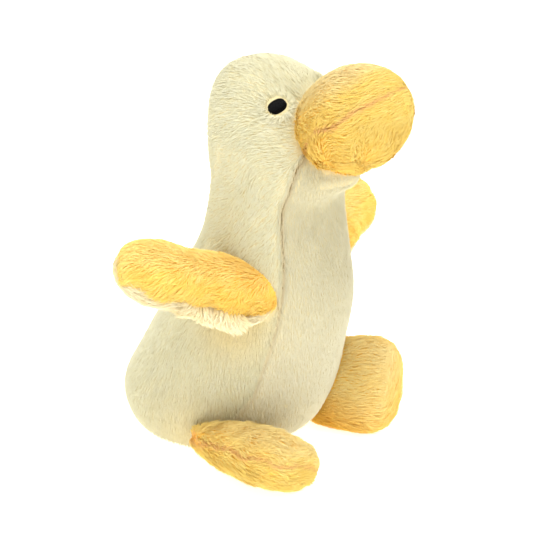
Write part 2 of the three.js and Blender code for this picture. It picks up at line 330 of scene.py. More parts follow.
def in_limb(form, points, margin):
    """Which points lie inside a limb's form, drawn in by a margin."""
    local = in_axes(form.place, points)
    fine = smooth_rows(form.shares, np.linspace(0, 1, 200))
    along = local[..., 0] / form.size[0]
    wide = np.interp(along, fine[:, 0], fine[:, 1], left=0, right=0) * form.size[1] / 2 - margin
    thick = np.interp(along, fine[:, 0], fine[:, 2], left=0, right=0) * form.size[2] / 2 - margin
    safe = (wide > 0) & (thick > 0)
    reach = (local[..., 1] / np.where(safe, wide, 1)) ** 2 + (local[..., 2] / np.where(safe, thick, 1)) ** 2
    return safe & (reach < 1)


def in_body(points, margin):
    share = np.clip(points[..., 2] / BODY_HEIGHT, 0, 1)
    z, forward, wide, deep = section_at(share)
    wide, deep = np.maximum(wide - margin, 1e-6), np.maximum(deep - margin, 1e-6)
    across, ahead = points[..., 0] / wide, -(points[..., 1] + forward) / deep
    ahead = ahead - throat(share, ahead / np.maximum(np.hypot(across, ahead), 1e-6)) / deep
    return (across ** 2 + ahead ** 2 < 1) & (points[..., 2] < BODY_HEIGHT - margin)


body = Form(body_point, np.array([0, 0, 1.0]))
bill_up = math.radians(BILL_PITCH)
bill_root = body_seat(BILL_HEIGHT_SHARE, 0, 1)[0] + np.array([0, BILL_SINK, 0])
bill = limb_form(BILL_SHARES, BILL_SIZE, frame_of(
    bill_root,
    np.array([0, -math.cos(bill_up), math.sin(bill_up)]),
    np.array([0, math.sin(bill_up), math.cos(bill_up)]),
))
wings = {hand: limb_form(WING_SHARES, WING_SIZE, limb_place(**place)) for hand, place in WINGS.items()}
feet = {hand: limb_form(FOOT_SHARES, FOOT_SIZE, foot_place(**place)) for hand, place in FEET.items()}
limbs = {"bill": bill}
limbs.update({f"wing_{hand}": form for hand, form in wings.items()})
limbs.update({f"foot_{hand}": form for hand, form in feet.items()})


# Panels: a grid of places on a form, with how far each is from the nearest seam

class Panel:
    """hidden_seam is added to the distance at the crown, so that the pile closes over the seam there."""

    def __init__(self, form, u, angle, seams=("left", "right"), wrap=False, hidden_seam=0.0):
        self.wrap = wrap
        self.point = form.point(u, angle)
        self.normal = form.normal(u, angle)
        across = np.linalg.norm(np.diff(self.point, axis=1), axis=-1)
        walked = np.concatenate([np.zeros((len(u), 1)), np.cumsum(across, 1)], 1)
        along = np.linalg.norm(np.diff(self.point, axis=0), axis=-1)
        climbed = np.concatenate([np.zeros((1, u.shape[1])), np.cumsum(along, 0)], 0)
        edges = {
            "left": walked,
            "right": walked[:, -1:] - walked,
            "low": climbed,
            "high": climbed[-1:] - climbed,
        }
        self.seam = np.minimum.reduce([edges[name] for name in seams])
        self.seam = self.seam + hidden_seam * step_up(self.point[..., 2] / BODY_HEIGHT, 0.86, 0.9)

    def under(self, depth):
        """The places at a depth under the form. They dip further towards the panel's seams."""
        dip = SEAM_DIP * np.exp(-((self.seam / SEAM_REACH) ** 2))
        return self.point - self.normal * (depth + dip)[..., None]


def gusset_angle(u):
    """Half of the gusset's angle at u, as the form's own angle."""
    z, forward, wide, deep = body_section(smooth_rows(BODY_SHARES, u))
    table = np.array(GUSSET_SHARES, float)
    height = (z + REST_CUT) / (BODY_HEIGHT + REST_CUT)
    turn = np.radians(np.interp(height, table[:, 0], table[:, 1]))
    return np.arctan2(np.sin(turn) * deep, np.cos(turn) * wide)


def spread(low, high, count):
    """Columns of angles from low to high, each given for every row."""
    share = np.linspace(0, 1, count)[None, :]
    low, high = np.reshape(low, (-1, 1)), np.reshape(high, (-1, 1))
    return low + (high - low) * share


def body_panels():
    seam_u = float(u_at((BASE_SEAM_HEIGHT + REST_CUT) / (BODY_HEIGHT + REST_CUT)))
    top_u = float(u_at(0.9))
    seams = ("left", "right", "low")
    panels = {}
    u = np.linspace(seam_u, 1, 170)
    half = gusset_angle(u)
    across = 110
    rows = u[:, None] * np.ones(across)
    for hand, low, high in (("right", -math.pi, -half), ("left", half, math.pi)):
        angle = spread(low, high, across)
        panels[f"body_side_{hand}"] = Panel(body, rows, angle, seams, hidden_seam=CROWN_COVER)
    u = np.linspace(seam_u, top_u, 150)
    half = gusset_angle(u)
    across = 60
    panels["belly_gusset"] = Panel(body, u[:, None] * np.ones(across), spread(-half, half, across), seams)
    u = np.linspace(0.02, seam_u, 40)
    across = 160
    around = spread(np.full(len(u), -math.pi), math.pi, across)
    panels["base_panel"] = Panel(body, u[:, None] * np.ones(across), around, ("high",), wrap=True)
    return panels


def limb_grid(form, angle, rows, margin):
    """Places on a limb from where it comes out of the body to its tip, for each of these angles."""
    fine = np.linspace(0, 1, 400)
    u, a = np.meshgrid(fine, angle, indexing="ij")
    hidden = in_body(form.point(u, a), margin)
    last = np.where(hidden.any(0), len(fine) - 1 - np.argmax(hidden[::-1], 0), 0)
    start = np.minimum(fine[last], 0.97)
    share = np.linspace(0, 1, rows)[:, None]
    return start + (1 - start) * share, np.ones((rows, 1)) * angle


def limb_panels(form, turn):
    """A limb's upper and lower panels, with the seam between them turned by an angle."""
    columns, rows = 72, 90
    return [Panel(form, *limb_grid(form, np.linspace(first, first + math.pi, columns), rows, 1.4 * MM))
            for first in (turn, turn + math.pi)]


# Meshes

def link(name, mesh, material):
    obj = bpy.data.objects.new(name, mesh)
    bpy.context.scene.collection.objects.link(obj)
    mesh.materials.append(material)
    return obj


def smooth_mesh(name, points, faces, material):
    """A smooth mesh. Points that meet are merged."""
    mesh = bpy.data.meshes.new(name)
    mesh.from_pydata(points.tolist(), [], faces)
    work = bmesh.new()
    work.from_mesh(mesh)
    bmesh.ops.remove_doubles(work, verts=work.verts, dist=1e-6)
    bmesh.ops.recalc_face_normals(work, faces=work.faces)
    for face in work.faces:
        face.smooth = True
    work.to_mesh(mesh)
    work.free()
    return link(name, mesh, material)


def quads(rows, columns, first=0):
    """Faces of a grid of points, row by row."""
    at = first + np.arange(rows * columns).reshape(rows, columns)
    corners = at[:-1, :-1], at[:-1, 1:], at[1:, 1:], at[1:, :-1]
    return [tuple(face) for face in np.stack(corners, -1).reshape(-1, 4).tolist()]


def shell(name, outer, inner, wrap, material):
    """Closed sheet of cloth between two grids of points."""
    rows, columns = outer.shape[:2]
    below = rows * columns
    faces = quads(rows, columns)
    faces += [tuple(reversed(face)) for face in quads(rows, columns, below)]
    at = np.arange(below).reshape(rows, columns)
    rims = [at[0], at[-1]] if wrap else [at[0], at[-1], at[:, 0], at[:, -1]]
    for rim in rims:
        for a, b in zip(rim[:-1].tolist(), rim[1:].tolist()):
            faces.append((a, b, b + below, a + below))
    points = np.concatenate([outer.reshape(-1, 3), inner.reshape(-1, 3)])
    return smooth_mesh(name, points, faces, material)


def closed_form(name, grid, material):
    """Closed body over a grid that goes all the way round, with a cap at each end."""
    rows, columns = grid.shape[:2]
    faces = quads(rows, columns)
    points = [grid.reshape(-1, 3), grid[:1, :-1].mean(1), grid[-1:, :-1].mean(1)]
    at = np.arange(rows * columns).reshape(rows, columns)
    for rim, middle in ((at[0], rows * columns), (at[-1], rows * columns + 1)):
        faces += [(a, b, middle) for a, b in zip(rim[:-1].tolist(), rim[1:].tolist())]
    return smooth_mesh(name, np.concatenate(points), faces, material)


def strand_mesh(name, path, width, facing, marks, material):
    """Closed flattened spikes along paths (strands, points, 3), each with its own cell of the bake map."""
    count, rings = path.shape[0], path.shape[1] - 1
    corners = rings * 3 + 1
    way = unit(np.diff(path, axis=1))
    way = unit(np.concatenate([way[:, :1], way[:, :-1] + way[:, 1:]], 1))
    first = unit(np.cross(way, facing[:, None, :] + 1e-5))
    second = np.cross(way, first)
    taper = np.linspace(1, 0, rings + 1)[:-1] ** 0.5
    around = np.arange(3) * math.tau / 3 - math.tau / 4
    radius = (width[:, None] / 2 * taper[None, :])[..., None, None]
    out = np.cos(around)[:, None] * first[:, :, None, :]
    out = out + STRAND_FLATNESS * np.sin(around)[:, None] * second[:, :, None, :]
    sides = path[:, :rings, None, :] + radius * out
    points = np.concatenate([sides.reshape(count, -1, 3), path[:, -1:, :]], 1)

    faces = [(0, 2, 1)]
    for ring in range(rings - 1):
        for j in range(3):
            a, b = ring * 3 + j, ring * 3 + (j + 1) % 3
            faces += [(a, b, a + 3), (b, b + 3, a + 3)]
    top = (rings - 1) * 3
    faces += [(top + j, top + (j + 1) % 3, corners - 1) for j in range(3)]
    faces = np.array(faces)
    every = (faces[None] + (np.arange(count) * corners)[:, None, None]).reshape(-1)

    mesh = bpy.data.meshes.new(name)
    mesh.vertices.add(count * corners)
    mesh.vertices.foreach_set("co", points.astype(np.float32).ravel())
    mesh.loops.add(len(every))
    mesh.loops.foreach_set("vertex_index", every.astype(np.int32))
    mesh.polygons.add(count * len(faces))
    mesh.polygons.foreach_set("loop_start", np.arange(0, len(every), 3, dtype=np.int32))
    mesh.polygons.foreach_set("use_smooth", np.zeros(count * len(faces), bool))
    mesh.update(calc_edges=True)

    across = math.ceil(math.sqrt(count))
    cell = np.stack([np.arange(count) % across, np.arange(count) // across], 1) / across
    lefts, lifts = (0.12, 0.5, 0.88), (0.15, 0.0, 0.15)
    inside = [[x, 0.1 + 0.75 * ring / rings + (lift if ring == 0 else 0.1)]
              for ring in range(rings) for x, lift in zip(lefts, lifts)]
    inside = np.array(inside + [[0.5, 0.95]])
    place = (cell[:, None, :] + inside[None] / across).reshape(-1, 2)
    uv = mesh.uv_layers.new(name="OFBake")
    uv.data.foreach_set("uv", place[every].astype(np.float32).ravel())

    rise = np.concatenate([np.repeat(np.linspace(0, 1, rings + 1)[:-1], 3), [1]])
    layers = {"tip": np.tile(rise, count)}
    layers.update({mark: np.repeat(values, corners) for mark, values in marks.items()})
    for mark, values in layers.items():
        mesh.attributes.new(mark, "FLOAT", "POINT").data.foreach_set("value", values.astype(np.float32))
    return link(name, mesh, material)


def tube_faces(base, rings, sides):
    """Faces of a closed tube, ring by ring from the point numbered base, with a cap at each end."""
    faces = []
    for ring in range(rings - 1):
        for j in range(sides):
            a, b = base + ring * sides + j, base + ring * sides + (j + 1) % sides
            faces.append((a, b, b + sides, a + sides))
    faces.append(tuple(base + j for j in reversed(range(sides))))
    faces.append(tuple(base + (rings - 1) * sides + j for j in range(sides)))
    return faces


def seam_thread(name, line, material):
    """Sewn stitches, each a short arched thread, along a line of points."""
    walked = np.concatenate([[0], np.cumsum(np.linalg.norm(np.diff(line, axis=0), axis=1))])
    stitches, rings, sides = int(walked[-1] / STITCH_PITCH), 5, 5
    points, faces = [], []
    for k in range(stitches):
        places = (k + np.linspace(0.08, 0.86, rings)) * STITCH_PITCH
        path = np.stack([np.interp(places, walked, axis) for axis in line.T], 1)
        way = unit(path[-1] - path[0])
        first = unit(np.cross(way, [0.3, 0.2, 0.9]))
        second = np.cross(way, first)
        base = len(points)
        for ring, centre in enumerate(path):
            fat = STITCH_THICKNESS / 2 * (0.35 + 0.65 * math.sin(math.pi * ring / (rings - 1)))
            for j in range(sides):
                turn = math.tau * j / sides
                points.append(centre + fat * (math.cos(turn) * first + math.sin(turn) * second))
        faces += tube_faces(base, rings, sides)
    return smooth_mesh(name, np.array(points), faces, material)


# Pile

def waves(points, length, seed):
    """Smooth noise from about -1 to 1, with bumps about as long as this length."""
    dice = np.random.default_rng(seed)
    total = np.zeros(points.shape[:-1])
    for _ in range(7):
        way = unit(dice.normal(size=3))
        turns = points @ way * (math.tau / length * dice.uniform(0.6, 1.5))
        total += np.sin(turns + dice.uniform(0, math.tau))
    return total / 2.6


def scattered(skin, density):
    """Evenly scattered places on a grid, as rows and columns with fractions."""
    low, right, high = skin[:-1, :-1], skin[:-1, 1:], skin[1:, :-1]
    area = np.linalg.norm(np.cross(right - low, high - low), axis=-1)
    cells = np.cumsum(area.ravel())
    count = int(cells[-1] * density * STRAND_SHARE)
    picks = (np.arange(count) + rng.random(count)) * cells[-1] / count
    cell = np.minimum(np.searchsorted(cells, picks), area.size - 1)
    return np.stack(np.unravel_index(cell, area.shape)) + rng.random((2, count))


def read(grid, spots):
    """The grid's values at rows and columns with fractions."""
    rows, columns = grid.shape[:2]
    spots = np.clip(spots, 0, np.array([[rows - 1.001], [columns - 1.001]]))
    i, j = spots.astype(int)
    s, t = (spots - (i, j)).reshape((2, -1) + (1,) * (grid.ndim - 2))
    low = grid[i, j] * (1 - t) + grid[i, j + 1] * t
    high = grid[i + 1, j] * (1 - t) + grid[i + 1, j + 1] * t
    return low * (1 - s) + high * s


def further(skin, spots, step):
    """Where each place comes to when it moves over the grid by a step in space."""
    near = np.array([[0.5], [0.5]])
    down = read(skin, spots + near * [[1], [0]]) - read(skin, spots - near * [[1], [0]])
    across = read(skin, spots + near * [[0], [1]]) - read(skin, spots - near * [[0], [1]])
    dd, aa, da = (down * down).sum(1), (across * across).sum(1), (down * across).sum(1)
    sd, sa = (step * down).sum(1), (step * across).sum(1)
    size = dd * aa - da * da + 1e-18
    return spots + np.stack([(sd * aa - sa * da) / size, (sa * dd - sd * da) / size])


def nearest(points, centres):
    tree = KDTree(len(centres))
    for k, centre in enumerate(centres):
        tree.insert(centre, k)
    tree.balance()
    return np.array([tree.find(point)[1] for point in points])


def groomed(way, wild=1.0, stretch=1.0, rise=0.0, white=0.0, warm=0.0):
    """How the pile lies at each place: its way, disorder, length and lift, and its tints. The tints are
    whiter pile below the eyes, and elsewhere painted light and shade.
    """
    return dict(way=way, wild=wild, stretch=stretch, rise=rise, white=white, warm=warm)


def strand_paths(coat, panel, skin, spots, near_seam, groom):
    """Paths that leave the cloth at an angle and then follow the form, and the way out at each root."""
    root, normal = read(skin, spots), unit(read(panel.normal, spots))
    count, steps = len(root), coat["steps"]
    wild = groom["wild"] * np.ones(count)
    swirl = np.radians(coat["swirl"]) * wild * waves(root, coat["swirl_length"], 3)
    turn = swirl + np.radians(coat["scatter"]) * np.sqrt(wild) * rng.normal(size=count)
    way = unit(groom["way"] - normal * (groom["way"] * normal).sum(-1, keepdims=True))
    side = np.cross(normal, way)
    way = way * np.cos(turn)[:, None] + side * np.sin(turn)[:, None]

    length = coat["length"] * rng.uniform(0.7, 1.15, count) * groom["stretch"]
    length = length * (1 - coat["trim"] * near_seam)
    lift = np.radians(coat["lift"]) * (1 + 0.35 * wild * waves(root, coat["swirl_length"] * 0.6, 5))
    lift += np.radians(5) * np.sqrt(wild) * rng.normal(size=count) + np.radians(groom["rise"])
    lift += np.radians(coat["stand"]) * near_seam
    lift = np.clip(lift, 0.08, 1.3)
    curl = np.radians(coat["curl"]) * wild * rng.normal(size=count)
    out_ahead = unit(read(panel.normal, further(skin, spots, way * length[:, None])))
    point = root - normal * STRAND_ROOT_DEPTH
    path = [point]
    for step in range(steps):
        share = (step + 0.5) / steps
        out = unit(normal * (1 - share) + out_ahead * share)
        on = unit(way - out * (way * out).sum(-1, keepdims=True))
        up, bend = (lift * (1.6 - 1.4 * share))[:, None], (curl * share)[:, None]
        level = on * np.cos(bend) + np.cross(out, on) * np.sin(bend)
        point = point + (level * np.cos(up) + out * np.sin(up)) * (length / steps)[:, None]
        path.append(point)
    return np.stack(path, 1), normal


def gathered(path, root, per_lock, clump):
    """Draws strands together into locks. Returns the paths and each strand's lock."""
    lock = nearest(root, root[rng.random(len(root)) < 1 / per_lock])
    members = np.maximum(np.bincount(lock), 1)
    pull = np.linspace(0, 1, path.shape[1]) ** 1.2
    for k in range(path.shape[1]):
        centre = np.stack([np.bincount(lock, axis) / members for axis in path[:, k].T], 1)
        path[:, k] += (centre[lock] - path[:, k]) * (clump * pull[k])[:, None]
    return path, lock


def grow(name, panel, coat, comb, material, keep):
    """The pile of one panel, in pieces from low to high. comb(points, seam) is how it lies.

    Strands come out a little past their roots, so extra ones stand beside the eyes and seams. Those that
    reach over an eye are shortened, and left out if that isn't enough.
    """
    skin = panel.under(coat["depth"])
    spots = scattered(skin, coat["density"])
    extra = scattered(skin, EXTRA_ROOTS * coat["density"])
    beside_eye = from_eyes(read(skin, extra))[0] < EXTRA_NEAR_EYE
    at_edge = beside_eye | (read(panel.seam, extra) < EXTRA_NEAR_SEAM)
    spots = np.concatenate([spots, extra[:, at_edge]], 1)
    seam = read(panel.seam, spots)
    spots = spots[:, (seam > coat["parting"] * rng.random(len(seam))) & keep(read(skin, spots))]
    root, seam = read(skin, spots), read(panel.seam, spots)
    near_seam = np.exp(-((seam / coat["seam_width"]) ** 2))
    groom = comb(root, seam)
    path, normal = strand_paths(coat, panel, skin, spots, near_seam, groom)
    clump = np.clip(coat["clump"] * groom["wild"] * np.ones(len(root)), 0, 0.85)
    path, lock = gathered(path, root, coat["per_lock"], clump)
    path[..., 2] = np.maximum(path[..., 2], LOWEST_STRAND)
    for share in (0.7, 0.6, 0.5):
        over = over_eyes(path)
        path[over] = path[over, :1] + (path[over] - path[over, :1]) * share
    shown = ~over_eyes(path)

    count = len(root)
    marks = {
        "lock": rng.random(lock.max() + 1)[lock],
        "fibre": rng.random(count),
        "seam": near_seam,
        # Tints of painted light and shade, and of the whiter pile below the eyes.
        "white": groom["white"] * np.ones(count),
        "warm": groom["warm"] * np.ones(count),
    }
    width = coat["width"] * rng.uniform(0.75, 1.25, count)
    by_height = np.argsort(root[:, 2])
    by_height = by_height[shown[by_height]]
    bands = max(1, math.ceil(len(by_height) / STRANDS_PER_PIECE))
    made = []
    for band, members in enumerate(np.array_split(by_height, bands)):
        slabs = np.array_split(members, math.ceil(math.sqrt(len(members))))
        turn = np.arctan2(root[:, 0], -root[:, 1])
        order = np.concatenate([slab[np.argsort(turn[slab])] for slab in slabs])
        piece = f"{name}_pile" if bands == 1 else f"{name}_pile_{band + 1}"
        chosen = {mark: values[order] for mark, values in marks.items()}
        made.append(strand_mesh(piece, path[order], width[order], normal[order], chosen, material))
    return made


# Materials

def node(tree, kind, **inputs):
    made = tree.nodes.new(kind)
    for name, value in inputs.items():
        made.inputs[name.replace("_", " ")].default_value = value
    return made


def srgb(r, g, b):
    def linear(c):
        c /= 255
        return c / 12.92 if c <= 0.04045 else ((c + 0.055) / 1.055) ** 2.4
    return linear(r), linear(g), linear(b), 1.0


def mixed(tree, factor, a, b):
    """A colour between two. Each of factor, a and b is an output socket or a constant."""
    made = tree.nodes.new("ShaderNodeMix")
    made.data_type = "RGBA"
    for socket, value in ((made.inputs[0], factor), (made.inputs[6], a), (made.inputs[7], b)):
        if isinstance(value, bpy.types.NodeSocket):
            tree.links.new(value, socket)
        else:
            socket.default_value = value
    return made.outputs[2]


def ramp(tree, value, low, high, to_low=0.0, to_high=1.0):
    made = tree.nodes.new("ShaderNodeMapRange")
    made.clamp = True
    for socket, number in zip(made.inputs[1:5], (low, high, to_low, to_high)):
        socket.default_value = number
    tree.links.new(value, made.inputs[0])
    return made.outputs[0]


def start_material(name, roughness, shine=0.0):
    material = bpy.data.materials.new(name)
    material.use_nodes = True
    tree = material.node_tree
    shader = tree.nodes["Principled BSDF"]
    shader.inputs["Roughness"].default_value = roughness
    shader.inputs["Specular IOR Level"].default_value = shine
    return material, tree, shader


def attribute(tree, name):
    made = tree.nodes.new("ShaderNodeAttribute")
    made.attribute_name = name
    return made.outputs["Fac"]


def noise(tree, scale, detail=3.0):
    place = tree.nodes.new("ShaderNodeTexCoord")
    made = node(tree, "ShaderNodeTexNoise", Scale=scale, Detail=detail)
    tree.links.new(place.outputs["Object"], made.inputs["Vector"])
    return made.outputs["Fac"]


def bump(tree, shader, height, depth):
    made = node(tree, "ShaderNodeBump", Strength=0.6, Distance=depth)
    tree.links.new(height, made.inputs["Height"])
    tree.links.new(made.outputs["Normal"], shader.inputs["Normal"])


# Whiter pile below the eyes; elsewhere this pale tint is painted light, on the tops of the bill, wings and
# feet and low on the belly.
WHITE = (248, 244, 222)


def pile_material(name, root, tip, pale, deep, seam, warm):
    """Strands: deeper and warmer at the root, which paints shade down between the strands, and each lock and
    fibre a little lighter or deeper than the next. Near seams the seam colour paints shade in the seam's
    groove.
    """
    material, tree, shader = start_material(name, 0.85)
    lock, fibre = attribute(tree, "lock"), attribute(tree, "fibre")
    colour = mixed(tree, ramp(tree, attribute(tree, "tip"), 0.0, 0.6), srgb(*root), srgb(*tip))
    for share, tint in (
        (ramp(tree, lock, 0.5, 1.0, 0.0, 0.5), pale),
        (ramp(tree, lock, 0.5, 0.0, 0.0, 0.4), deep),
        (ramp(tree, fibre, 0.5, 1.0, 0.0, 0.3), pale),
        (ramp(tree, noise(tree, 55.0), 0.4, 0.7, 0.0, 0.25), deep),
        # Tints of painted light and shade; near seams, painted shade in the seam's groove.
        (attribute(tree, "white"), WHITE),
        (attribute(tree, "warm"), warm),
        (ramp(tree, attribute(tree, "seam"), 0.2, 1.0, 0.0, 0.7), seam),
    ):
        colour = mixed(tree, share, colour, srgb(*tint))
    tree.links.new(colour, shader.inputs["Base Color"])
    return material


def cloth_material(name, base, deep):
    """Knitted backing with the stubs of the pile, seen between the strands."""
    material, tree, shader = start_material(name, 0.95)
    fine = noise(tree, 900.0, 2.0)
    colour = mixed(tree, ramp(tree, fine, 0.3, 0.7), srgb(*deep), srgb(*base))
    colour = mixed(tree, ramp(tree, noise(tree, 60.0), 0.4, 0.7, 0.0, 0.4), colour, srgb(*deep))
    tree.links.new(colour, shader.inputs["Base Color"])
    bump(tree, shader, fine, 0.4 * MM)
    return material


def thread_material(name, base, light, roughness, shine):
    material, tree, shader = start_material(name, roughness, shine)
    fine = noise(tree, 1400.0, 2.0)
    colour = mixed(tree, ramp(tree, fine, 0.3, 0.75), srgb(*base), srgb(*light))
    tree.links.new(colour, shader.inputs["Base Color"])
    bump(tree, shader, fine, 0.1 * MM)
    return material


def fibre_material(name):
    """Loose polyester filling."""
    material, tree, shader = start_material(name, 0.95)
    fine = noise(tree, 350.0, 6.0)
    colour = mixed(tree, ramp(tree, fine, 0.3, 0.7), srgb(222, 219, 210), srgb(250, 249, 245))
    tree.links.new(colour, shader.inputs["Base Color"])
    bump(tree, shader, fine, 1.0 * MM)
    return material


# Painted bounced light: the yellow that the wings and feet throw into the shade on the cream pile.
CREAM_PAINTED_BOUNCE = (240, 208, 120)
CREAM = pile_material(
    "cream_pile",
    root=(230, 222, 178), tip=(222, 218, 188), pale=(225, 222, 196), deep=(222, 216, 178),
    seam=(216, 199, 156), warm=CREAM_PAINTED_BOUNCE)
# The belly's pile is the cream pile made darker: painted shade, which its painted light lower down leaves at
# the throat under the bill.
SHADED_BELLY = pile_material(
    "belly_pile_painted_shade",
    root=(218, 208, 166), tip=(211, 204, 173), pale=(215, 209, 180), deep=(211, 203, 166),
    seam=(208, 190, 150), warm=CREAM_PAINTED_BOUNCE)
PALE = pile_material(
    "pale_pile",
    root=(246, 226, 168), tip=(247, 234, 194), pale=(251, 242, 212), deep=(246, 229, 178),
    seam=(232, 208, 152), warm=CREAM_PAINTED_BOUNCE)
# A darker copy of the yellow pile, for the bill and the near foot: painted shade.
SHADED_YELLOW = pile_material(
    "shaded_yellow_pile",
    root=(253, 216, 106), tip=(237, 208, 114), pale=(244, 222, 142), deep=(238, 202, 98),
    seam=(234, 176, 118), warm=(242, 198, 86))
YELLOW = pile_material(
    "yellow_pile",
    root=(255, 210, 94), tip=(251, 220, 115), pale=(254, 231, 148), deep=(251, 208, 94),
    seam=(242, 194, 116), warm=(247, 194, 76))
CREAM_CLOTH = cloth_material("cream_backing", (218, 206, 162), (212, 198, 152))
PALE_CLOTH = cloth_material("pale_backing", (234, 218, 172), (222, 202, 152))
YELLOW_CLOTH = cloth_material("yellow_backing", (255, 208, 96), (250, 198, 86))
EYE_THREAD = thread_material("eye_thread", (2, 2, 2), (6, 6, 5), roughness=0.28, shine=0.08)
CREAM_THREAD = thread_material("cream_thread", (168, 138, 92), (196, 168, 120), roughness=0.6, shine=0.1)
YELLOW_THREAD = thread_material("yellow_thread", (206, 146, 84), (230, 176, 104), roughness=0.6, shine=0.1)
FIBRE = fibre_material("filling_fibre")

# Coats: how the pile of each panel grows. Angles are in degrees. depth is from the form down to the cloth,
# stand is the extra lift beside a seam, and trim is how much shorter the strands are there.
SHORT = dict(
    depth=1.0 * MM, density=3.2 / MM**2, length=4.5 * MM, width=0.42 * MM, steps=2,
    lift=13, swirl=16, swirl_length=24 * MM, scatter=6, curl=20, per_lock=16, clump=0.45,
    parting=0.1 * MM, seam_width=0.8 * MM, trim=0.15, stand=25,
)
FINE = {**SHORT, "depth": 0.9 * MM, "length": 4.2 * MM, "lift": 12, "swirl": 8, "clump": 0.3}
FLAT = {**SHORT, "density": 1.0 / MM**2, "lift": 5}
LONG = dict(
    depth=1.1 * MM, density=3.3 / MM**2, length=5.6 * MM, width=0.46 * MM, steps=2,
    lift=18, swirl=28, swirl_length=15 * MM, scatter=8, curl=28, per_lock=12, clump=0.4,
    parting=0.1 * MM, seam_width=1.0 * MM, trim=0.2, stand=10,
)


# Eyes

def eye_place(side):
    point, outward = body_seat(EYE_HEIGHT_SHARE, EYE_TURN, side)
    to_bill = unit(np.array([0, -1, 0]) + outward * outward[1])
    turn = -side * math.radians(EYE_TILT)
    long_way = to_bill * math.cos(turn) + np.cross(outward, to_bill) * math.sin(turn)
    return frame_of(point - outward * EYE_SINK, long_way, outward)


EYES = {"right": eye_place(-1), "left": eye_place(1)}


def from_eyes(points):
    """How far each place is from the rim of the nearer eye, and the way there from that eye's middle.

    The depth below the eye counts too, so that the far side of the body isn't near it.
    """
    nearest_gap, ways = np.full(len(points), 1.0), np.zeros((len(points), 3))
    for place in EYES.values():
        local = in_axes(place, points)
        shares = local / [EYE_LENGTH / 2, EYE_BREADTH / 2, EYE_LENGTH]
        reach = np.sqrt((shares * shares).sum(1))
        gap = np.sqrt((local * local).sum(1)) * (1 - 1 / np.maximum(reach, 1e-3))
        closer = gap < nearest_gap
        nearest_gap[closer] = gap[closer]
        ways[closer] = unit(local[closer] * [1, 1, 0] + 1e-9) @ place[:3, :3].T
    return nearest_gap, ways


def over_eyes(path):
    """Which strands reach over an eye."""
    mids = (path[:, :-1] + path[:, 1:]) / 2
    points = np.concatenate([path, mids], 1)
    half_length, half_breadth = EYE_LENGTH / 2 + EYE_CLEARANCE, EYE_BREADTH / 2 + EYE_CLEARANCE
    found = np.zeros(len(path), bool)
    for place in EYES.values():
        local = in_axes(place, points)
        across = (local[..., 0] / half_length) ** 2 + (local[..., 1] / half_breadth) ** 2
        found |= ((across < 1) & (local[..., 2] > 0)).any(1)
    return found


def eye(name, place):
    """Satin stitches side by side over a low dome."""
    threads, steps, sides = 21, 14, 6
    thick = EYE_LENGTH / threads * 0.66
    points, faces = [], []
    for k in range(threads):
        x = ((k + 0.5) / threads - 0.5) * EYE_LENGTH
        edge = (1 - abs(2 * x / EYE_LENGTH) ** 2.4) ** 0.42
        half = EYE_BREADTH / 2 * edge
        base = len(points)
        for i in range(steps + 1):
            t = -1 + 2 * i / steps
            rise = (EYE_THICKNESS - thick) * max(0.0, edge ** 1.2 * (1 - abs(t) ** 3)) ** 0.3
            fat = thick * (0.35 + 0.65 * max(0.0, 1 - abs(t) ** 6))
            for j in range(sides):
                turn = math.tau * j / sides
                points.append((x + fat * math.cos(turn), t * half, rise + fat * math.sin(turn)))
        faces += tube_faces(base, steps + 1, sides)
    placed = np.array(points) @ place[:3, :3].T + place[:3, 3]
    return smooth_mesh(name, placed, faces, EYE_THREAD)


# How the pile is combed

def clear_of_limbs(points):
    hidden = np.zeros(len(points), bool)
    for form in limbs.values():
        hidden |= in_limb(form, points, 1.0 * MM)
    return ~hidden


def clear_of_body(points):
    return ~in_body(points, 1.6 * MM)


def own(form, points):
    """Places as shares of a limb: along it from 0 to 1, and across and through it from -1 to 1."""
    local = in_axes(form.place, points)
    return (local / (form.size * [1, 0.5, 0.5])).T


def comb_body(points, seam):
    """Down the body, and back over the head and neck. It lies away from the eyes and wilder on the neck.

    It is whiter below the eyes, and warmer below the wings and by the feet, which paints the yellow light
    that the wings and feet bounce into the shade there.
    """
    share = points[:, 2] / BODY_HEIGHT
    z, forward, wide, deep = section_at(np.clip(share, 0, 1))
    front = step_up((-points[:, 1] - forward) / deep, 0.0, 0.8)
    back = np.interp(share, [0, 0.3, 0.5, 0.7, 0.85, 1], [0, 0.05, 0.35, 0.95, 1.15, 2.5])
    back *= 1 + 2 * front * step_up(share, 0.74, 0.84)
    back *= 1 - 0.85 * np.exp(-((seam / (4 * MM)) ** 2))
    way = unit(np.stack([np.zeros(len(points)), back, -np.ones(len(points))], 1))
    gap, away = from_eyes(points)
    way += away * (2.5 * np.exp(-((np.maximum(gap, 0) / (1.6 * MM)) ** 2)))[:, None]
    wild = np.interp(share, [0, 0.35, 0.5, 0.62, 0.78, 0.93, 1], [0.3, 0.3, 0.5, 0.8, 1, 0.8, 0.4])
    white, warm = np.zeros(len(points)), np.zeros(len(points))
    for place in EYES.values():
        below = place[:3, 3] - [0, 0, 5 * MM]
        white += 0.9 * np.exp(-(((points - below) ** 2).sum(1) / (4.2 * MM) ** 2))
    # Painted bounced light: the wings' yellow in the shade below them.
    for form in wings.values():
        middle = form.place[:3, 3] + form.place[:3, 0] * form.size[0] * 0.3 - [0, 0, 14 * MM]
        warm += 0.45 * np.exp(-(((points - middle) ** 2).sum(1) / (15 * MM) ** 2))
    # Painted bounced light: the feet's yellow on the pile beside them.
    for form in feet.values():
        warm += 0.25 * np.exp(-(((points - form.place[:3, 3]) ** 2).sum(1) / (22 * MM) ** 2))
    beside_eye = np.exp(-((np.maximum(gap, 0) / (1.3 * MM)) ** 2))
    return groomed(way, wild, 1 - 0.3 * beside_eye, 38 * beside_eye, white, warm)


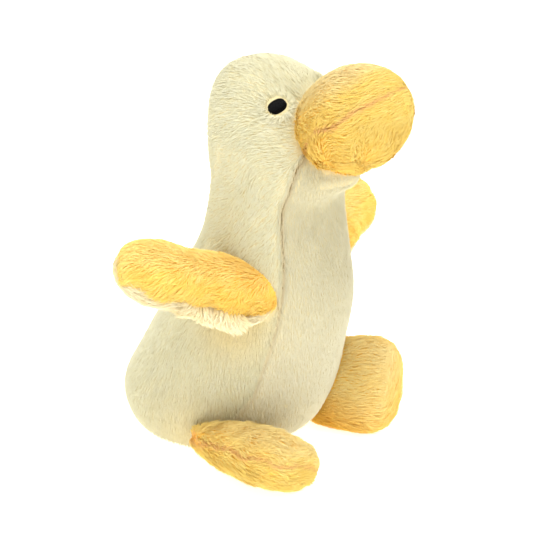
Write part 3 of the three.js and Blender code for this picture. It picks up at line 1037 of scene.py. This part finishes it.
def comb_belly(points, seam):
    """As the body, but calm and straight down. It is whiter lower down: painted light, which leaves painted
    shade at the throat under the bill.
    """
    found = comb_body(points, seam)
    found["way"] = found["way"] * [1, 0, 1]
    found["wild"] = found["wild"] * 0.35
    # Painted light low on the belly, so that the throat under the bill stays in painted shade.
    painted_light_below_throat = np.interp(points[:, 2] / BODY_HEIGHT, [0, 0.15, 0.45, 0.7], [0.4, 0.4, 0.14, 0])
    found["white"] = found["white"] + painted_light_below_throat
    return found


def comb_base(points, seam):
    return groomed(np.tile([0.0, 1.0, 0.0], (len(points), 1)), 0.3)


def parted(form, z, amount):
    """Turns the pile away from the seam round a limb's middle, so that the seam stays open."""
    away = np.sign(z) * amount * np.exp(-((z / 0.13) ** 2))
    return away[:, None] * form.place[:3, 2]


def across_tip(form, x, way):
    """Brushes the pile sideways over a limb's tip, so that it covers the point where the panels end."""
    share = step_up(x, 0.8, 0.95)[:, None]
    return way * (1 - share) + form.place[:3, 1] * share


def comb_bill(points, seam):
    """Along the bill and down a little above the mouth seam, wildest at its root. Painted light makes it
    whiter on top, and painted shade warmer towards its root and under side.
    """
    x, y, z = own(bill, points)
    drop = 0.35 * step_up(z, 0.05, 0.5)
    way = bill.place[:3, 0] - drop[:, None] * np.array([0, 0, 1.0]) + parted(bill, z, 0.08)
    way = across_tip(bill, x, way)
    wild = np.interp(x, [0.2, 0.5, 0.8, 1], [1.2, 1, 0.6, 0.4]) * (1 - 0.8 * step_up(z, 0.35, 0.75))
    # Painted light on the bill's top, and painted shade towards its root and under side.
    white = 0.35 * step_up(z, 0.3, 0.95)
    warm = 0.35 * (1 - step_up(x, 0.3, 0.8)) * (1 - step_up(z, 0.1, 0.7))
    return groomed(way, wild, white=white, warm=warm)


def comb_wing(form, front):
    """Upper side of a wing, brushed down towards its front rim. front is the sign of its front rim."""
    def comb(points, seam):
        x, y, z = own(form, points)
        turn = np.degrees(np.arctan2(z, y * front))
        drop = np.interp(turn, [-60, -10, 20, 60, 90, 130], [0, 0.2, 0.6, 1.05, 0.5, 0])
        way = form.place[:3, 0] + drop[:, None] * form.place[:3, 1] * front
        wild = np.interp(turn, [0, 40, 80, 110], [0.8, 1, 0.8, 0.25])
        wild = wild * np.interp(x, [0.2, 0.35, 1], [1.3, 1, 0.8])
        # Painted light where the wing faces up, and painted shade, warmer, by its root.
        white = 0.12 * step_up(turn, 60, 100)
        warm = 0.3 * (1 - step_up(x, 0.25, 0.6))
        return groomed(way, wild, white=white, warm=warm)
    return comb


def comb_wing_under(form, front, shaggy):
    """Under side of a wing. A shaggy one has a fringe of longer tufts that hang from its front rim."""
    def comb(points, seam):
        x, y, z = own(form, points)
        fringe = shaggy * step_up(x, 0.16, 0.3) * (1 - step_up(x, 0.46, 0.62))
        fringe = fringe * step_up(y * front, 0.35, 0.8)
        way = form.place[:3, 0] * (1 - 0.85 * fringe)[:, None] - fringe[:, None] * np.array([0, 0, 1.0])
        return groomed(way, 0.5 + 0.9 * fringe, 1 + 0.7 * fringe, 32 * fringe)
    return comb


# The way the calm foot's painted light falls from.
PAINTED_LIGHT_WAY = [0.64, -0.23, 0.74]


def comb_foot(form, calm):
    """Along the foot, with a tuft at its root brushed aside. A calm foot is smoother, with painted light on
    its upper side and painted shade, deeper orange, on the other.
    """
    def comb(points, seam):
        x, y, z = own(form, points)
        tuft = (1 - step_up(x, 0.1, 0.3)) * step_up(z, -0.2, 0.4)
        along = form.place[:3, 0]
        turn = math.radians(115) * tuft[:, None]
        way = along * np.cos(turn) + form.place[:3, 1] * np.sin(turn) + parted(form, z, 0.1)
        way = across_tip(form, x, way)
        wild = np.interp(z, [-0.5, 0.6], [0.9, 1 - 0.6 * calm])
        # Painted light: whiter on the foot's top, and on the calm foot's side that faces this way. Painted
        # shade: warmer by the root, and on the calm foot's other side.
        high = (points - form.place[:3, 3] - along * form.size[0] * 0.55) @ PAINTED_LIGHT_WAY / form.size[1]
        white = 0.2 * step_up(z, -0.2, 0.8) + 0.1 * calm * step_up(high, 0.05, 0.45)
        warm = 0.2 * (1 - step_up(x, 0.2, 0.6)) + 0.7 * calm * (1 - step_up(high, -0.5, -0.05))
        return groomed(way, wild, 1 + 0.25 * tuft, 5 * tuft, white, warm)
    return comb


# Sewn parts

def dress(name, panel, coat, comb, pile, cloth, keep):
    """One panel: its cloth, which stands for the CAD panel, and its pile."""
    outer = panel.under(coat["depth"])
    inner = outer - panel.normal * BACKING
    inner[..., 2] = np.maximum(inner[..., 2], 0.05 * MM)
    outer[..., 2] = np.maximum(outer[..., 2], 0)
    made = shell(name, outer, inner, panel.wrap, cloth)
    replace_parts(made, name)
    return [made, *grow(name, panel, coat, comb, pile, keep)]


def stuff(name, form, u, angle):
    """The filling inside a form, a little lumpy."""
    point, normal = form.point(u, angle), form.normal(u, angle)
    lumps = FILLING_LUMPS * waves(point, 12 * MM, 7)
    made = closed_form(name, point - normal * (FILLING_DEPTH - lumps)[..., None], FIBRE)
    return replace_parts(made, name)


def sew_body():
    panels = body_panels()
    looks = {
        "body_side_right": (SHORT, comb_body, CREAM),
        "body_side_left": (SHORT, comb_body, CREAM),
        "belly_gusset": (FINE, comb_belly, SHADED_BELLY),
        "base_panel": (FLAT, comb_base, CREAM),
    }
    pieces = []
    for name, (coat, comb, pile) in looks.items():
        pieces += dress(name, panels[name], coat, comb, pile, CREAM_CLOTH, clear_of_limbs)
    for seam, name, edge in (
        ("belly_seam_right", "belly_gusset", 0),
        ("belly_seam_left", "belly_gusset", -1),
        ("back_seam", "body_side_right", 0),
    ):
        under = panels[name].under(looks[name][0]["depth"] - STITCH_RISE)
        pieces.append(seam_thread(seam, under[:, edge], CREAM_THREAD))
    for piece in pieces:
        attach(piece, "body")
    u, angle = np.meshgrid(np.linspace(0.002, 1, 70), np.linspace(-math.pi, math.pi, 72), indexing="ij")
    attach(stuff("body_filling", body, u, angle), "body")
    for hand, place in EYES.items():
        made = eye(f"eye_{hand}", place)
        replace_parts(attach(made, "body"), f"eye_{hand}")


def sew_limb(name, form, turn, looks, join):
    """A limb's two panels, the thread round its rim and its filling, each given to join(piece)."""
    panels = limb_panels(form, turn)
    for panel, (panel_name, coat, comb, pile, cloth, slot) in zip(panels, looks):
        for piece in dress(panel_name, panel, coat, comb, pile, cloth, clear_of_body):
            join(piece)
    edge = panels[0].under(LONG["depth"] - STITCH_RISE)
    rim = np.concatenate([edge[:, 0], edge[::-1, -1]])
    join(seam_thread(f"{name}_seam", rim, YELLOW_THREAD))
    u, angle = limb_grid(form, np.linspace(-math.pi, math.pi, 48), 40, -0.5 * MM)
    join(stuff(f"{name}_filling", form, u, angle))


def blended(form):
    """Bakes each piece's place into its mesh. It finds where the limb leaves the body, but ties the piece to
    no body.
    """
    u, angle = limb_grid(form, np.linspace(-math.pi, math.pi, 48), 2, 0)
    leaves = own(form, form.point(u[0], angle[0]))[0]
    return lambda piece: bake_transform(piece)


def dress_duck():
    sew_body()
    sew_limb("bill", bill, 0.0, [
        ("bill_top", LONG, comb_bill, SHADED_YELLOW, YELLOW_CLOTH, "yellow_plush"),
        ("bill_bottom", LONG, comb_bill, SHADED_YELLOW, YELLOW_CLOTH, "yellow_plush"),
    ], lambda piece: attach(piece, "body"))
    for hand, form in wings.items():
        name, front, shaggy = f"wing_{hand}", -WINGS[hand]["side"], {"right": 1.0, "left": 0.0}[hand]
        sew_limb(name, form, front * math.radians(WING_SEAM_TURN), [
            (f"{name}_top", LONG, comb_wing(form, front), YELLOW, YELLOW_CLOTH, "yellow_plush"),
            (f"{name}_under", LONG, comb_wing_under(form, front, shaggy), PALE, PALE_CLOTH, "pale_plush"),
        ], blended(form))
    for hand, form in feet.items():
        name = f"foot_{hand}"
        calm, pile = {"right": (0.0, SHADED_YELLOW), "left": (1.0, YELLOW)}[hand]
        sew_limb(name, form, 0.0, [
            (f"{name}_top", LONG, comb_foot(form, calm), pile, YELLOW_CLOTH, "yellow_plush"),
            (f"{name}_sole", LONG, comb_foot(form, calm), pile, YELLOW_CLOTH, "yellow_plush"),
        ], blended(form))


dress_duck()


# Floor, light and camera

def floor_material():
    """Pale and lit from below, as a photographer's light table is."""
    material, _, shader = start_material("floor", 0.9, 0.5)
    shader.inputs["Base Color"].default_value = (0.95, 0.95, 0.95, 1)
    shader.inputs["Emission Color"].default_value = (1, 1, 1, 1)
    shader.inputs["Emission Strength"].default_value = FLOOR_GLOW
    return material


floor_mesh = bpy.data.meshes.new("floor")
floor_mesh.from_pydata([(-6, -6, 0), (6, -6, 0), (6, 6, 0), (-6, 6, 0)], [], [(0, 1, 2, 3)])
link("floor", floor_mesh, floor_material())

world = bpy.data.worlds.new("studio")
world.use_nodes = True
world.node_tree.nodes["Background"].inputs["Color"].default_value = (1, 1, 1, 1)
world.node_tree.nodes["Background"].inputs["Strength"].default_value = WORLD_STRENGTH
bpy.context.scene.world = world
bpy.context.scene.view_settings.view_transform = "Standard"


def way_to(azimuth, elevation):
    a, e = math.radians(azimuth), math.radians(elevation)
    return Vector((math.sin(a) * math.cos(e), -math.cos(a) * math.cos(e), math.sin(e)))


def softbox(name, azimuth, elevation, distance, size, power):
    middle = Vector((0, -0.01, 0.08))
    way = way_to(azimuth, elevation)
    light = bpy.data.lights.new(name, "AREA")
    light.shape, light.size, light.energy = "DISK", size, power
    obj = bpy.data.objects.new(name, light)
    bpy.context.scene.collection.objects.link(obj)
    obj.location = middle + way * distance
    obj.rotation_euler = (-way).to_track_quat("-Z", "Y").to_euler()


for light_name, place in LIGHTS.items():
    softbox(light_name, *place)


def add_camera():
    back = way_to(VIEW_AZIMUTH, VIEW_ELEVATION)
    right = way_to(VIEW_AZIMUTH + 90, 0)
    up = back.cross(right)
    middle = Vector((0, 0, 0.08))
    data = bpy.data.cameras.new("camera")
    data.sensor_width = 36
    data.lens = 36 * PIXELS_PER_METRE * VIEW_DISTANCE / PHOTO_WIDTH
    data.clip_start, data.clip_end = 0.05, 50
    obj = bpy.data.objects.new("camera", data)
    bpy.context.scene.collection.objects.link(obj)
    obj.location = middle + back * VIEW_DISTANCE
    aim = middle + right * OFF_CENTRE_RIGHT - up * OFF_CENTRE_DOWN
    obj.rotation_euler = (aim - obj.location).to_track_quat("-Z", "Y").to_euler()
    bpy.context.scene.camera = obj


add_camera()
